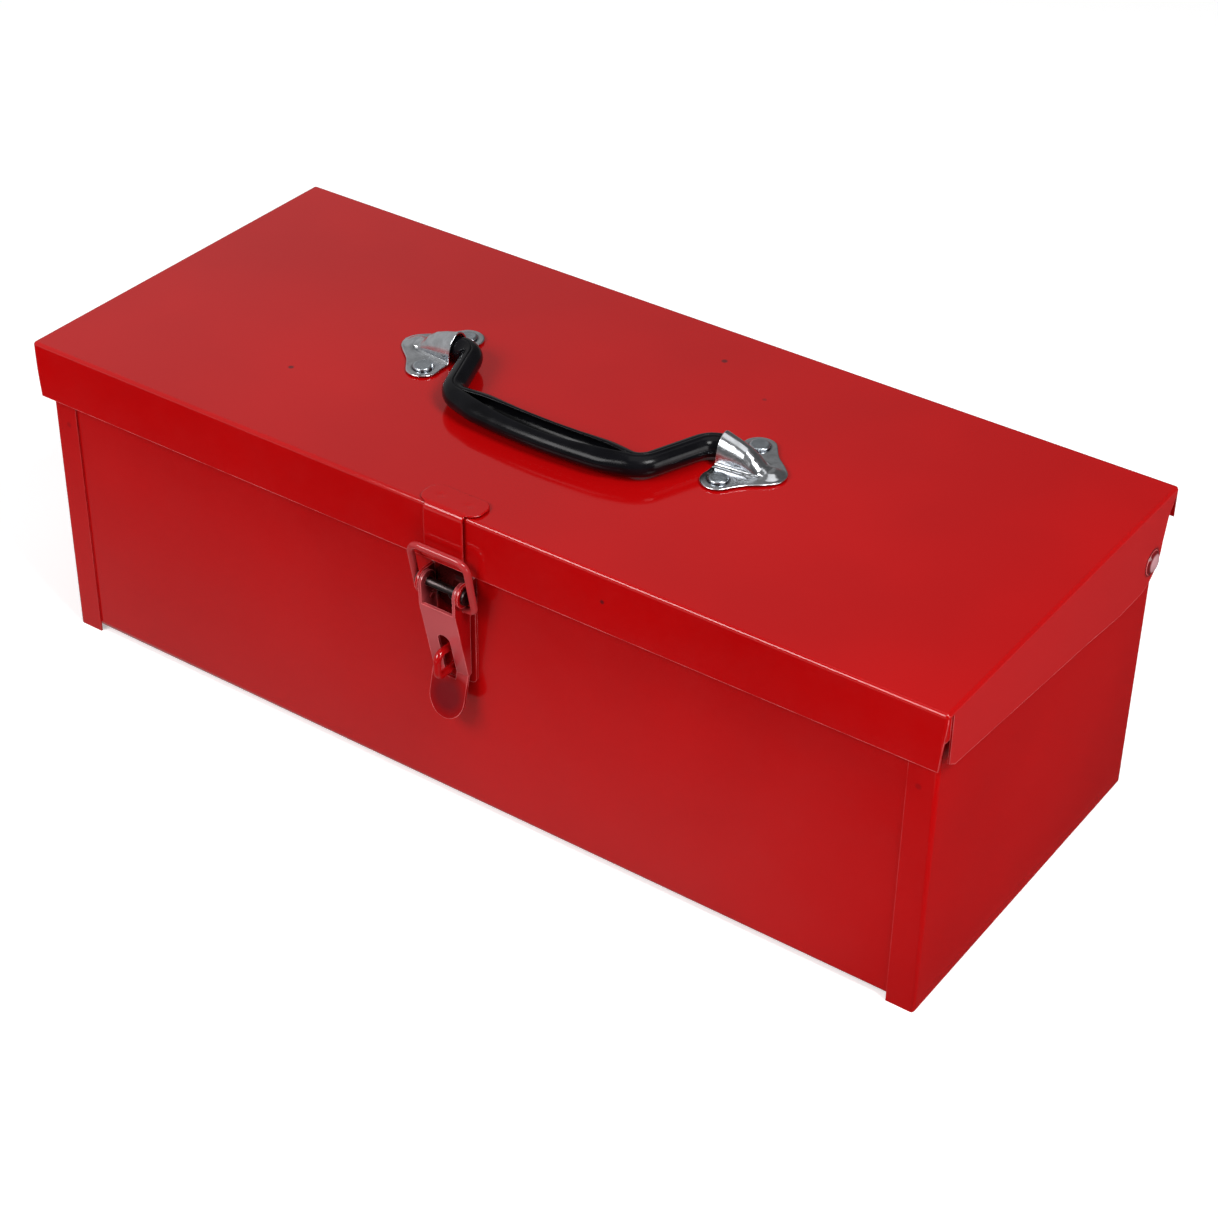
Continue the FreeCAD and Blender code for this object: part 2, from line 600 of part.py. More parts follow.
def latch_base():
    """The base plate on the front panel, with an ear each side for the pin."""
    body = new_body("latch_base")
    back = "( body_front + sheet - pin_y )"
    plate = rectangle(sketch_on(body, "XZ_Plane", f"0 - {back}"), "0 - base_half", "base_half",
                      "0 - base_bottom", "base_top")
    add(body, "Pad", plate, "base_sheet")
    round_edges(body, "base_sheet * 2", lambda edge: runs_along(edge, "y"))
    neck = rectangle(sketch_on(body, "YZ_Plane"), "0", back, "0 - ear_lobe", "ear_lobe")
    add(body, "Pad", neck, "2 * base_half", middle=True)
    add(body, "Pad", circle(sketch_on(body, "YZ_Plane"), "0", "0", "ear_lobe"), "2 * base_half",
        middle=True)
    middle = rectangle(sketch_on(body, "YZ_Plane"), "0 - 2 * ear_lobe", f"{back} - base_sheet",
                       "0 - base_bottom - margin", "base_top + margin")
    add(body, "Pocket", middle, "2 * ( base_half - base_sheet )", middle=True)
    bore = circle(sketch_on(body, "YZ_Plane"), "0", "0", "pin_radius")
    add(body, "Pocket", bore, "4 * base_half", middle=True)
    holes = sketch_on(body, "XZ_Plane", f"base_sheet - {back}")
    for spot in ("upper_rivet_z", "lower_rivet_z"):
        circle(holes, "0", f"{spot} - pin_z", "latch_shank")
    for sign in ("-", "+"):
        circle(holes, "0", f"staple_z {sign} staple_pitch / 2 - pin_z", "staple_wire")
    add(body, "Pocket", holes, "2 * base_sheet")
    at_pin(body)


def latch_pin():
    """The headed pin through the ears and the lever."""
    head = "( base_half + pin_head_height )"
    pin = turned(
        "latch_pin",
        ("0", f"0 - {head}"), ("pin_head", f"0 - {head}"), ("pin_head", "0 - base_half"),
        ("pin_radius", "0 - base_half"), ("pin_radius", "base_half"), ("pin_head", "base_half"),
        ("pin_head", head), ("0", head),
    )
    at_pin(pin, axis=Vector(0, 1, 0), angle="90")


def latch_lever():
    """The U-channel lever with its slot and outward finger tongue."""
    body = new_body("latch_lever")
    walls = outline(
        sketch_on(body, "YZ_Plane"),
        ("0 - lever_lobe", "0"), ("0 - lever_face", "0 - lever_face_top"),
        ("0 - lever_face", "0 - lever_face_bottom"),
        ("lever_flange_foot - lever_face", "0 - lever_face_bottom"),
        ("lever_flange_top", "0 - lever_face_top"), ("lever_lobe", "0"),
    )
    add(body, "Pad", walls, "2 * lever_half", middle=True)
    lobe = circle(sketch_on(body, "YZ_Plane"), "0", "0", "lever_lobe")
    add(body, "Pad", lobe, "2 * lever_half", middle=True)
    hollow = outline(
        sketch_on(body, "YZ_Plane"),
        ("lever_sheet - lever_face", "0 - 2 * lever_face_bottom"),
        ("2 * lever_lobe", "0 - 2 * lever_face_bottom"), ("2 * lever_lobe", "2 * lever_lobe"),
        ("0 - 2 * lever_face", "2 * lever_lobe"), ("0 - 2 * lever_face", "0 - lever_face_top"),
        ("lever_sheet - lever_face", "0 - lever_face_top"),
    )
    add(body, "Pocket", hollow, "2 * ( lever_half - lever_sheet )", middle=True)
    low = "( lever_face_bottom + tongue_drop )"
    reach = "sqrt(tongue_out * tongue_out + tongue_drop * tongue_drop)"
    tongue = outline(
        sketch_on(body, "YZ_Plane"),
        ("0 - lever_face", "0 - lever_face_bottom"),
        ("0 - lever_face - tongue_out", f"0 - {low}"),
        (f"0 - lever_face - tongue_out + lever_sheet * tongue_drop / {reach}",
         f"0 - {low} - lever_sheet * tongue_out / {reach}"),
        ("lever_sheet - lever_face",
         f"0 - lever_face_bottom - lever_sheet * ( {reach} - tongue_drop ) / tongue_out"),
        ("lever_sheet - lever_face", "0 - lever_face_bottom"),
    )
    add(body, "Pad", tongue, "2 * tongue_half", middle=True)
    shape = outline(
        sketch_on(body, "XZ_Plane"),
        ("0 - 2 * tongue_half", f"tongue_half - {low}"),
        ("0 - tongue_half", f"tongue_half - {low}", "ccw", "v", f"tongue_half - {low}"),
        ("tongue_half", f"tongue_half - {low}"),
        ("2 * tongue_half", f"tongue_half - {low}"),
        ("2 * tongue_half", f"0 - 2 * {low}"), ("0 - 2 * tongue_half", f"0 - 2 * {low}"),
    )
    add(body, "Pocket", shape, "20 * lever_lobe", middle=True)
    slot = outline(
        sketch_on(body, "XZ_Plane"),
        ("0 - slot_half", "0 - slot_bottom"), ("slot_half", "0 - slot_bottom"),
        ("slot_half", "0 - slot_top - slot_half", "ccw", "v", "0 - slot_top - slot_half"),
        ("0 - slot_half", "0 - slot_top - slot_half"),
    )
    add(body, "Pocket", slot, "20 * lever_lobe", middle=True)
    bore = circle(sketch_on(body, "YZ_Plane"), "0", "0", "pin_radius + running_fit")
    add(body, "Pocket", bore, "4 * lever_half", middle=True)
    eyes = circle(sketch_on(body, "YZ_Plane"), "0", "0 - bail_pivot", "bail_wire + bail_fit")
    add(body, "Pocket", eyes, "4 * lever_half", middle=True)
    at_pin(body, axis=Vector(1, 0, 0), angle="lever_tilt")


def wire_form(body, path, start):
    """Sweep a round wire along a path from a circle at its start."""
    doc.recompute()
    pipe = body.newObject("PartDesign::AdditivePipe", f"{body.Name}_pipe")
    pipe.Profile = start
    pipe.Spine = path
    doc.recompute()


def latch_bail():
    """The wire loop: feet in the lever's eyes, legs up to a bar in front of the strike."""
    body = new_body("latch_bail")
    foot, top = "( bail_half - bail_foot_bend )", "( bail_half - bail_top_bend )"
    shoulder = "bail_length - bail_top_bend"
    path = outline(
        sketch_on(body, "XZ_Plane"),
        ("bail_stub", "0"), (foot, "0", "ccw", "u", foot), ("bail_half", "bail_foot_bend"),
        ("bail_half", shoulder, "ccw", "u", top), (top, "bail_length"),
        (f"0 - {top}", "bail_length", "ccw", "u", f"0 - {top}"), ("0 - bail_half", shoulder),
        ("0 - bail_half", "bail_foot_bend", "ccw", "u", f"0 - {foot}"), (f"0 - {foot}", "0"),
        ("0 - bail_stub", "0"), closed=False,
    )
    start = circle(sketch_on(body, "YZ_Plane", "bail_stub"), "0", "0", "bail_wire")
    wire_form(body, path, start)
    place(body, y="lid_mid + pin_y + bail_pivot * sin(lever_tilt)",
          z="pin_z - bail_pivot * cos(lever_tilt)", axis=Vector(1, 0, 0), angle="bail_tilt")


def padlock_staple():
    """The wire staple through panel and base, its legs peened inside."""
    body = new_body("padlock_staple")
    inside = "( body_front + 2 * sheet - pin_y )"
    tip, corner = "( staple_wire - staple_reach - pin_y )", "staple_bend"
    low = "( staple_z - staple_pitch / 2 - pin_z )"
    high = "( staple_z + staple_pitch / 2 - pin_z )"
    path = outline(
        sketch_on(body, "YZ_Plane"),
        (inside, low), (f"{tip} + {corner}", low, "cw", "u", f"{tip} + {corner}"),
        (tip, f"{low} + {corner}"), (tip, f"{high} - {corner}", "cw", "u", f"{tip} + {corner}"),
        (f"{tip} + {corner}", high), (inside, high), closed=False,
    )
    wire_form(body, path, circle(sketch_on(body, "XZ_Plane", f"0 - {inside}"), "0", low,
                                 "staple_wire"))
    peens = sketch_on(body, "XZ_Plane", f"0 - {inside}")
    for leg in (low, high):
        circle(peens, "0", leg, "latch_tail")
    add(body, "Pad", peens, "staple_tail", backward=True)
    at_pin(body)


def latch_rivets():
    for name in ("upper", "lower"):
        stem = rivet(f"latch_rivet_{name}", "latch_shank", "( base_sheet + sheet )", "latch_head",
                     "latch_head_height", "latch_tail", "staple_tail")
        place(stem, y="lid_mid + body_front + sheet - base_sheet", z=f"{name}_rivet_z",
              axis=Vector(1, 0, 0), angle="90")


def check_and_export():
    """Check every object and write one STEP file for each sub-part."""
    doc.recompute()
    for item in doc.Objects:
        if {"Invalid", "Error"} & set(item.State):
            raise ValueError(f"{item.Label}: {item.State}")
    os.makedirs("parts", exist_ok=True)
    for part in PARTS:
        if part.Shape.isNull() or not part.Shape.isValid():
            raise ValueError(f"{part.Label}: bad shape")
        part.Shape.exportStep(f"parts/{part.Label}.step")


def main():
    body_shell()
    end_panel("end_panel_right", 1)
    end_panel("end_panel_left", -1)
    lid_shell()
    strike_plate()
    for name, side in (("right", 1), ("left", -1)):
        hinge_hardware(name, side)
        handle_bracket(name, side)
    carry_handle()
    latch_base()
    latch_pin()
    latch_lever()
    latch_bail()
    padlock_staple()
    latch_rivets()
    check_and_export()


main()
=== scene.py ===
"""Looks of a red steel lunch box: enamel, zinc and black japanned parts around the CAD frame."""
import json
import math

import bmesh
import bpy
from mathutils import Matrix, Vector


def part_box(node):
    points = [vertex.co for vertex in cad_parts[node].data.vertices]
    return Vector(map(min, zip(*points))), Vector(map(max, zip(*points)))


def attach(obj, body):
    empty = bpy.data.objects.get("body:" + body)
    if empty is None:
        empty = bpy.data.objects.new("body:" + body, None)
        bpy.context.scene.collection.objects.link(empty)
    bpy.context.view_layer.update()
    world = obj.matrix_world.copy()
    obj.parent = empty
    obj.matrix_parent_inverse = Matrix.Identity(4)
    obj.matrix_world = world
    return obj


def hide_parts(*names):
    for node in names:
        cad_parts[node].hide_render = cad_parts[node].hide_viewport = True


MM = 0.001

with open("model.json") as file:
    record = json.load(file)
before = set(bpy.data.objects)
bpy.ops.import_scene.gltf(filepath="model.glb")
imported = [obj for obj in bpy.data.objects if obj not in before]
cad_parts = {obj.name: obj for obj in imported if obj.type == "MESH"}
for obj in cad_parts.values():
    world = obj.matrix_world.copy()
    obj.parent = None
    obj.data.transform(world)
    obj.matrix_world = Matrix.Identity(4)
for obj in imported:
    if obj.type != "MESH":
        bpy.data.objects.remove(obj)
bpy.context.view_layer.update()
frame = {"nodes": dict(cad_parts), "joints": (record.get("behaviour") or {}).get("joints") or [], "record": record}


# ---------------------------------------------------------------- places read from the frame

LID_LOW, LID_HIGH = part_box("lid_shell")
LID_TOP = LID_HIGH.z
LID_MID = (LID_LOW.y + LID_HIGH.y) / 2
JOINTS = {joint["name"]: Vector(joint["pos_m"]) for joint in frame["joints"]}
LATCH_PIN = JOINTS["latch_lever_swing"]
_, HINGE_Y, HINGE_Z = JOINTS["lid_hinge"]


# ---------------------------------------------------------------- shader helpers

class Nodes:
    """A small wrapper that adds and links shader nodes in one material."""

    def __init__(self, name):
        self.material = bpy.data.materials.new(name)
        self.material.use_nodes = True
        self.tree = self.material.node_tree
        self.shader = self.tree.nodes["Principled BSDF"]
        self.place = self.add("ShaderNodeTexCoord").outputs["Object"]

    def add(self, kind, **settings):
        node = self.tree.nodes.new(kind)
        for key, setting in settings.items():
            setattr(node, key, setting)
        return node

    def link(self, source, target):
        self.tree.links.new(source, target)

    def set(self, **values):
        """Set sockets of the shader by their names, with _ for a space."""
        for key, setting in values.items():
            self.shader.inputs[key.replace("_", " ")].default_value = setting

    def feed(self, **sources):
        """Link sources to sockets of the shader by their names, with _ for a space."""
        for key, source in sources.items():
            self.link(source, self.shader.inputs[key.replace("_", " ")])

    def along(self, axis):
        """The place along X, Y or Z, in metres."""
        parts = self.add("ShaderNodeSeparateXYZ")
        self.link(self.place, parts.inputs["Vector"])
        return parts.outputs[axis]

    def noise(self, scale, detail=2.0, roughness=0.5):
        """Noise with a scale in features per metre."""
        node = self.add("ShaderNodeTexNoise")
        node.inputs["Scale"].default_value = scale
        node.inputs["Detail"].default_value = detail
        node.inputs["Roughness"].default_value = roughness
        self.link(self.place, node.inputs["Vector"])
        return node.outputs["Fac"]

    def ramp(self, source, *stops):
        """A colour ramp of two stops, each (position, colour)."""
        node = self.add("ShaderNodeValToRGB")
        for element, (position, colour) in zip(node.color_ramp.elements, stops):
            element.position = position
            element.color = (*colour, 1)
        self.link(source, node.inputs["Fac"])
        return node.outputs["Color"]

    def span(self, source, low, high, start=0.3, end=0.7):
        """Map a factor between start and end onto low to high."""
        node = self.add("ShaderNodeMapRange")
        node.inputs["From Min"].default_value = start
        node.inputs["From Max"].default_value = end
        node.inputs["To Min"].default_value = low
        node.inputs["To Max"].default_value = high
        self.link(source, node.inputs["Value"])
        return node.outputs["Result"]

    def math(self, operation, first, second):
        """One operation on two values, each a socket or a number."""
        node = self.add("ShaderNodeMath", operation=operation)
        for socket, value in zip(node.inputs, (first, second)):
            if isinstance(value, (int, float)):
                socket.default_value = value
            else:
                self.link(value, socket)
        return node.outputs["Value"]

    def edges(self, reach):
        """1 within reach of a sharp edge of the mesh and 0 away from it."""
        bevelled = self.add("ShaderNodeBevel", samples=6)
        bevelled.inputs["Radius"].default_value = reach
        compare = self.add("ShaderNodeVectorMath", operation="DOT_PRODUCT")
        self.link(bevelled.outputs["Normal"], compare.inputs[0])
        self.link(self.add("ShaderNodeNewGeometry").outputs["Normal"], compare.inputs[1])
        return self.span(compare.outputs["Value"], 1.0, 0.0, start=0.86, end=0.985)

    def mix(self, factor, first, second):
        """Blend two colours, each a socket or (red, green, blue), by a factor socket."""
        node = self.add("ShaderNodeMix", data_type="RGBA")
        for number, value in ((0, factor), (6, first), (7, second)):
            socket = node.inputs[number]
            if isinstance(value, tuple):
                socket.default_value = (*value, 1)
            else:
                self.link(value, socket)
        return node.outputs[2]

    def mark(self, colour, marks):
        """Tint round places; each mark is (x, y, z, radius, strength, tint), sharper above strength 1."""
        for x, y, z, radius, strength, tint in marks:
            distance = self.add("ShaderNodeVectorMath", operation="DISTANCE")
            distance.inputs[1].default_value = (x, y, z)
            self.link(self.place, distance.inputs[0])
            spot = self.span(distance.outputs["Value"], strength, 0.0, start=radius * 0.5, end=radius)
            colour = self.mix(spot, colour, tint)
        return colour

    def bump(self, height, strength, distance):
        """Bump from a height factor; distance in metres."""
        node = self.add("ShaderNodeBump")
        node.inputs["Strength"].default_value = strength
        node.inputs["Distance"].default_value = distance
        self.link(height, node.inputs["Height"])
        self.feed(Normal=node.outputs["Normal"])


# ---------------------------------------------------------------- finishes

# the first colour here is the dark of paint specks, also used for painted shade round the hinge rivets
# the last colour here is a pale line along edges, partly worn thin paint and partly a painted highlight
DARK_SPECK_AND_SHADE, DUST, EDGE_WEAR_AND_GLINT = (0.09, 0.006, 0.009), (0.16, 0.002, 0.003), (0.74, 0.16, 0.165)
RED_DEEP, RED_LIGHT = (0.37, 0.0015, 0.002), (0.42, 0.002, 0.0025)
LATCH_DEEP, LATCH_LIGHT = (0.31, 0.002, 0.003), (0.38, 0.003, 0.004)
# how far the pale edge line reaches from a sharp edge: partly worn paint, partly a painted highlight
EDGE_LINE_REACH = 0.6 * MM
LATCH_GLOSS = (0.04, 0.09)
# the handle's brackets, in millimetres; x and y are from the lid's middle, the rest from the bracket's own
BRACKET = {
    "x": 67.5, "y": 2.0, "sheet": 1.2, "ear_y": 13.9, "ear_radius": 6.8, "tip_x": 11.5, "tip_radius": 8.0,
    "mouth": -6.5, "mouth_half": 6.3, "flank_dip": 0.9, "rim": 0.6, "shown_sheet": 0.7,
}


def enamel(name, deep, light, marks=(), gloss=(0.07, 0.13), side_light=None, edge_line_below=None, edge_line_strength=1.0):
    """Sprayed gloss enamel: orange peel, slow colour drift, dust, and a thin light line along edges that is partly
    worn paint and partly a painted highlight.

    marks are tinted spots: specks of dirt, a rivet's rubbed patch, and painted shade and reflections, and gloss is
    the range of roughness.
    side_light is (x, colour): a colour painted on what lies beyond x to either side, for light that falls
    differently on the sides.
    edge_line_below is a height: edges above it get no light edge line.
    edge_line_strength is how strongly the light edge line shows.
    """
    m = Nodes(name)
    drift = m.noise(9, detail=3)
    colour = m.ramp(drift, (0.35, deep), (0.65, light))
    dust = m.span(m.noise(900, detail=2), 0.0, 1.0, start=0.72, end=0.8)
    colour = m.mix(m.math("MULTIPLY", dust, 0.15), colour, DUST)
    # painted light: a colour laid on the sides beyond x, for light that falls differently there
    if side_light:
        start, tint = side_light
        outward = m.math("ABSOLUTE", m.along("X"), 0)
        colour = m.mix(m.span(outward, 0.0, 1.0, start=start - 0.1 * MM, end=start), colour, tint)
    colour = m.mark(colour, marks)
    # a thin pale line along sharp edges: partly worn paint, partly a painted highlight
    patchy = m.span(m.noise(140), 0.35 * edge_line_strength, edge_line_strength, start=0.35, end=0.6)
    edge_line = m.math("MULTIPLY", m.edges(EDGE_LINE_REACH), patchy)
    if edge_line_below:
        low = m.span(m.along("Z"), 1.0, 0.0, start=edge_line_below, end=edge_line_below + 0.5 * MM)
        edge_line = m.math("MULTIPLY", edge_line, low)
    colour = m.mix(edge_line, colour, EDGE_WEAR_AND_GLINT)
    m.feed(Base_Color=colour, Roughness=m.span(m.noise(60, detail=4), *gloss))
    peel = m.math("ADD", m.noise(420, detail=2), m.math("MULTIPLY", m.noise(110, detail=1), 1.4))
    m.bump(peel, 0.06, 0.00012)
    m.set(IOR=1.5, Specular_IOR_Level=0.5)
    return m.material


def zinc(name, colour, rough, marks=()):
    """Bright zinc plate with faint cloudy spangle, fine handling marks, and dark marks given by the caller: on the
    brackets, painted shadows round the rivets.
    """
    m = Nodes(name)
    cloud = m.noise(300, detail=4, roughness=0.6)
    dark = tuple(channel * 0.78 for channel in colour)
    plate = m.ramp(cloud, (0.34, dark), (0.60, colour))
    m.feed(Base_Color=m.mark(plate, marks),
           Roughness=m.span(m.noise(400, detail=3), rough * 0.8, rough * 1.3))
    m.bump(m.noise(900, detail=5, roughness=0.7), 0.03, 0.0001)
    m.set(Metallic=1.0)
    return m.material


def japan(name):
    """Black enamel, satin, with soft rubbed patches along the grip."""
    m = Nodes(name)
    patches = m.noise(120, detail=4)
    m.feed(Base_Color=m.ramp(patches, (0.35, (0.0022, 0.0022, 0.003)), (0.7, (0.0045, 0.0045, 0.006))),
           Roughness=m.span(m.noise(190, detail=4), 0.14, 0.26))
    m.bump(m.noise(700, detail=3), 0.12, 0.00012)
    m.set(IOR=1.45, Specular_IOR_Level=0.17)
    return m.material


def lid_specks_and_rivet_shade():
    """The few dark specks in the paint of the lid, and a painted shade: a dark ring round each hinge rivet."""
    spots = (
        (-109.3, -40.2, 0, 1.4, 0.9), (21.9, 62.1, 0, 1.6, 0.9), (49.9, 46.8, 0, 1.1, 0.5),
        (68.1, -84.5, -11.3, 1.1, 0.9),
    )
    marks = [(x * MM, LID_MID + y * MM, LID_TOP + z * MM, radius * MM, strength, DARK_SPECK_AND_SHADE)
             for x, y, z, radius, strength in spots]
    # the ring round each hinge rivet is painted shade in the gap at its head
    return marks + [(side * LID_HIGH.x, HINGE_Y, HINGE_Z, 6.4 * MM, 2.0, DARK_SPECK_AND_SHADE) for side in (-1, 1)]


def weld_dimple_shade():
    """Painted shade: a darker spot for the shallow spot-weld dimple near the top of each front flange of the end
    panels.
    """
    return [(x * MM, LID_MID - 80.2 * MM, LID_TOP - 36.1 * MM, 1.5 * MM, 0.55, (0.20, 0.002, 0.004))
            for x in (-192.5, 192.5)]


def lever_sheen_and_shade():
    """Painted light on the lever: its pinkish painted reflection fades to red towards the finger tongue, which
    keeps its red with a darker middle, and painted shade darkens round the pin.
    """
    tongue, tip = Vector((0, 0.4, -48.6)), Vector((0, 0.4, -59))
    marks = (
        (tongue, 26, 1, (0.36, 0.030, 0.034)), (tip, 20.5, 6, (0.28, 0.002, 0.003)),
        (tongue, 9, 0.9, (0.13, 0.006, 0.009)), (Vector((0, 3, 0)), 11.5, 1.5, (0.07, 0.002, 0.003)),
    )
    return [(*(LATCH_PIN + place * MM), radius * MM, strength, tint)
            for place, radius, strength, tint in marks]


def base_pin_shade():
    """Painted shade behind the pin of the latch, in the recess round it."""
    return [(*(LATCH_PIN + Vector((0, 6, -3)) * MM), 13 * MM, 1.6, (0.03, 0.002, 0.002))]


def rivet_bare_metal_and_glint():
    """The pale middle of each hinge rivet's head: partly paint rubbed off, partly a painted highlight."""
    heads = (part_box("hinge_rivet_left")[0].x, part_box("hinge_rivet_right")[1].x)
    return [(x, HINGE_Y, HINGE_Z, 3.9 * MM, 3, (0.48, 0.25, 0.27)) for x in heads]


def bracket_rivet_shadows():
    """A painted shadow: a dark ring round each rivet head of the handle brackets."""
    height, shadow = LID_TOP + BRACKET["sheet"] * MM, (0.10, 0.10, 0.11)
    ears = [LID_MID + (BRACKET["y"] + across * BRACKET["ear_y"]) * MM for across in (-1, 1)]
    return [(side * BRACKET["x"] * MM, y, height, 5.0 * MM, 2.4, shadow) for side in (-1, 1) for y in ears]


MATERIALS = {
    # the darker spots by the welds are painted shade in their dimples
    "body_enamel": enamel("body_enamel", RED_DEEP, RED_LIGHT, weld_dimple_shade(), edge_line_strength=0.3),
    "lid_enamel": enamel("lid_enamel", RED_DEEP, RED_LIGHT, lid_specks_and_rivet_shade(),
                         # painted sheen: the end flanges take a lighter, pinker red than the top
                         side_light=(LID_HIGH.x - 0.1 * MM, (0.455, 0.011, 0.012)),
                         edge_line_below=LID_TOP - 2 * MM),
    "latch_enamel": enamel("latch_enamel", LATCH_DEEP, LATCH_LIGHT, gloss=LATCH_GLOSS),
    # the head's dark red is painted shade round its rim; the marks lay its pale middle
    "hinge_rivet": enamel("hinge_rivet", (0.11, 0.003, 0.004), (0.17, 0.006, 0.008), rivet_bare_metal_and_glint(),
                          gloss=(0.12, 0.22)),
    "hidden_zinc": zinc("hidden_zinc", (0.60, 0.60, 0.58), 0.30),
    "bracket_zinc": zinc("bracket_zinc", (0.70, 0.72, 0.75), 0.19, bracket_rivet_shadows()),
    "bracket_rivet": zinc("bracket_rivet", (0.60, 0.65, 0.70), 0.22),
    "handle_black": japan("handle_black"),
    "pin_steel": zinc("pin_steel", (0.07, 0.055, 0.055), 0.34),
}
# latch pieces with paint of their own in place of their slot's, carrying painted light: a pinkish painted
# reflection on the lever's face and partly on the bail, and painted shade round the pin
OWN_PAINT_AND_LIGHT = {
    # the lever's pinkish red is a painted reflection on its face; its side walls beyond 8.2 mm take a plain red
    "latch_lever": enamel("lever_enamel", (0.40, 0.048, 0.054), (0.47, 0.072, 0.080), lever_sheen_and_shade(),
                          gloss=(0.10, 0.18), side_light=(8.2 * MM, (0.30, 0.002, 0.003))),
    # the bail's pinker red is partly rubbed paint and partly a painted reflection along the wire
    "latch_bail": enamel("bail_enamel", (0.34, 0.020, 0.022), (0.42, 0.035, 0.038), gloss=(0.03, 0.07)),
    # the base's mark is painted shade round the pin
    "latch_base": enamel("base_enamel", LATCH_DEEP, LATCH_LIGHT, base_pin_shade(), gloss=LATCH_GLOSS),
}


# ---------------------------------------------------------------- CAD nodes

# edges that turn by more than this many degrees get a bevel, with these widths in millimetres
SHARP_ANGLE = 35
SOFT_EDGES = {
    "lid_shell": 0.35, "body_shell": 0.3, "end_panel_left": 0.3, "end_panel_right": 0.3,
    "latch_base": 0.35, "latch_lever": 0.35, "latch_pin": 0.3,
}


def soften(thing, width):
    """Weld a mesh's split corners and break its sharp edges with a small bevel."""
    weld = thing.modifiers.new("weld", "WELD")
    weld.merge_threshold = 0.002 * MM
    bevel = thing.modifiers.new("bevel", "BEVEL")
    bevel.width = width
    bevel.segments = 2
    bevel.limit_method = "ANGLE"
    bevel.angle_limit = math.radians(SHARP_ANGLE)
    bevel.harden_normals = True
    bevel.use_clamp_overlap = True


def dress_frame():
    """Soft edges for the bent and turned metal, and a finish for every CAD node."""
    for node, width in SOFT_EDGES.items():
        soften(frame["nodes"][node], width * MM)
    slots = {entry["node"]: entry["material_slot"] for entry in frame["record"]["subparts"]}
    for node, thing in frame["nodes"].items():
        thing.data.materials.clear()
        thing.data.materials.append(OWN_PAINT_AND_LIGHT.get(node) or MATERIALS[slots[node]])


# ---------------------------------------------------------------- pieces built as meshes

def mesh_piece(name, points, faces, body, slot, node):
    """A smooth mesh object that rides on a body, takes a slot's finish and stands for a CAD node."""
    mesh = bpy.data.meshes.new(name)
    mesh.from_pydata([tuple(point) for point in points], [], faces)
    mesh.materials.append(MATERIALS[slot])
    mesh.shade_smooth()
    piece = bpy.data.objects.new(name, mesh)
    bpy.context.collection.objects.link(piece)
    tidy = bmesh.new()
    tidy.from_mesh(mesh)
    bmesh.ops.remove_doubles(tidy, verts=tidy.verts, dist=0.001 * MM)
    bmesh.ops.recalc_face_normals(tidy, faces=tidy.faces)
    tidy.to_mesh(mesh)
    tidy.free()
    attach(piece, body)
    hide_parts(node)
    return piece


def thicken(piece, thickness):
    """Give an open mesh the thickness of a sheet, inward, in millimetres."""
    solid = piece.modifiers.new("sheet", "SOLIDIFY")
    solid.thickness = thickness * MM
    solid.offset = -1


def skin(rings, closed_ring=True):
    """Quads between neighbouring rings of points; each ring has the same count."""
    count = len(rings[0])
    span = count if closed_ring else count - 1
    faces = []
    for ring in range(len(rings) - 1):
        for number in range(span):
            here, beside = ring * count + number, ring * count + (number + 1) % count
            faces.append((here, beside, beside + count, here + count))
    return [point for ring in rings for point in ring], faces


def ease(share):
    """A smooth step from 0 to 1."""
    share = min(max(share, 0.0), 1.0)
    return share * share * (3 - 2 * share)


def between(x, *stops):
    """Straight-line interpolation through (x, value) stops."""
    for (low, first), (high, second) in zip(stops, stops[1:]):
        if x <= high:
            return first + (second - first) * max(0.0, (x - low) / (high - low))
    return stops[-1][1]


# ---- the carry handle: one strip rolled into a tube, opened into a C along the grip, in millimetres

HANDLE = {
    "end": 70.0, "bend_x": 54.5, "arm_x": 43.0, "reach": 30.0, "bow": 3.5, "bend": 9.0, "bow_radius": 220.0,
    "slide": 1.5, "radius": 4.5, "end_radius": 2.2, "mouth": 61.0, "grip_width": 15.0, "grip_height": 10.0,
    "open_half": 37.0, "opening": 8.4, "swell_start": 44.0, "swell_full": 26.0, "wall": 1.0, "seam": 0.06,
    "lip_curl": 0.55, "step": 1.2,
}


def rounded_line(corners, radii, step):
    """Stations (point, direction) along a flat line whose corners are rounded."""
    stations, last = [], corners[0]

    def run(start, end):
        count = max(1, round((end - start).length / step))
        way = (end - start).normalized()
        return [(start.lerp(end, n / count), way) for n in range(count)]

    for before, corner, after, radius in zip(corners, corners[1:], corners[2:], radii):
        inward, outward = (corner - before).normalized(), (after - corner).normalized()
        turn = inward.angle(outward)
        cut = radius * math.tan(turn / 2)
        start = corner - inward * cut
        stations += run(last, start)
        side = (outward - inward * inward.dot(outward)).normalized()
        steps = max(4, round(radius * turn / step))
        for n in range(steps):
            angle = turn * n / steps
            way = inward * math.cos(angle) + side * math.sin(angle)
            spot = start + side * radius * (1 - math.cos(angle)) + inward * radius * math.sin(angle)
            stations.append((spot, way))
        last = corner + outward * cut
    return stations + run(last, corners[-1]) + [(corners[-1], (corners[-1] - last).normalized())]


